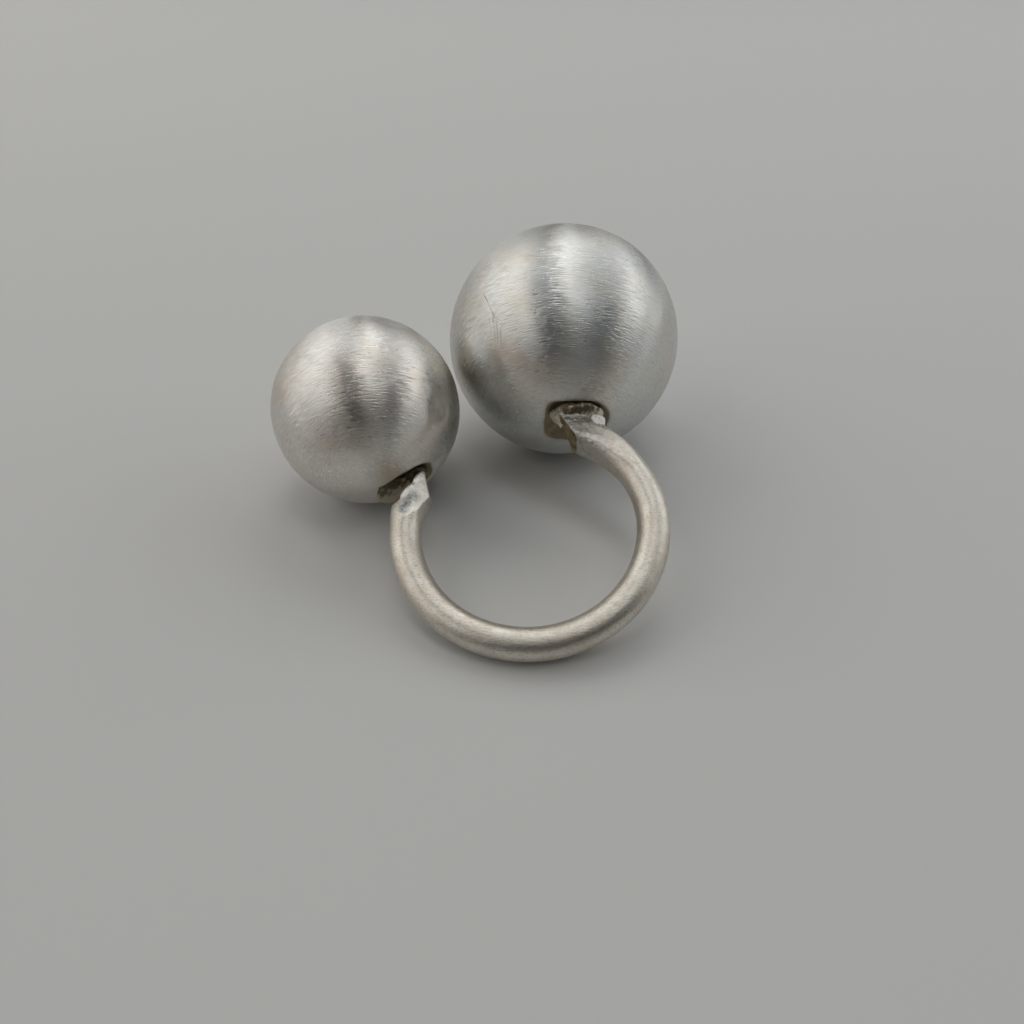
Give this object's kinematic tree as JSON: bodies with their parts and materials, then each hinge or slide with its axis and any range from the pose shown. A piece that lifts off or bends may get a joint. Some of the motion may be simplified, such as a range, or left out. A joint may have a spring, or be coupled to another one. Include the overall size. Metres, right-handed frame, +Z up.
{
  "type": "open finger ring with two hollow balls",
  "caption": "Open finger ring of round wire, whose hammered and nipped ends are soldered into recesses in a large and a small hollow ball, with a brushed satin finish.",
  "frame": {"origin": "centre of the bottom of the bounding box, on the surface that the ring lies on", "axes": "+X to the right and +Y away in the picture's view, +Z up; the ring lies on its side, on both balls and the lowest point of the band"},
  "size_m": [0.0366, 0.041, 0.0214],
  "materials": {
    "brushed_silver": "silver, brushed by hand to a satin finish, stained brown in the recesses round the solder"
  },
  "bodies": {
    "root": {"ring": "brushed_silver"}
  },
  "joints": []
}
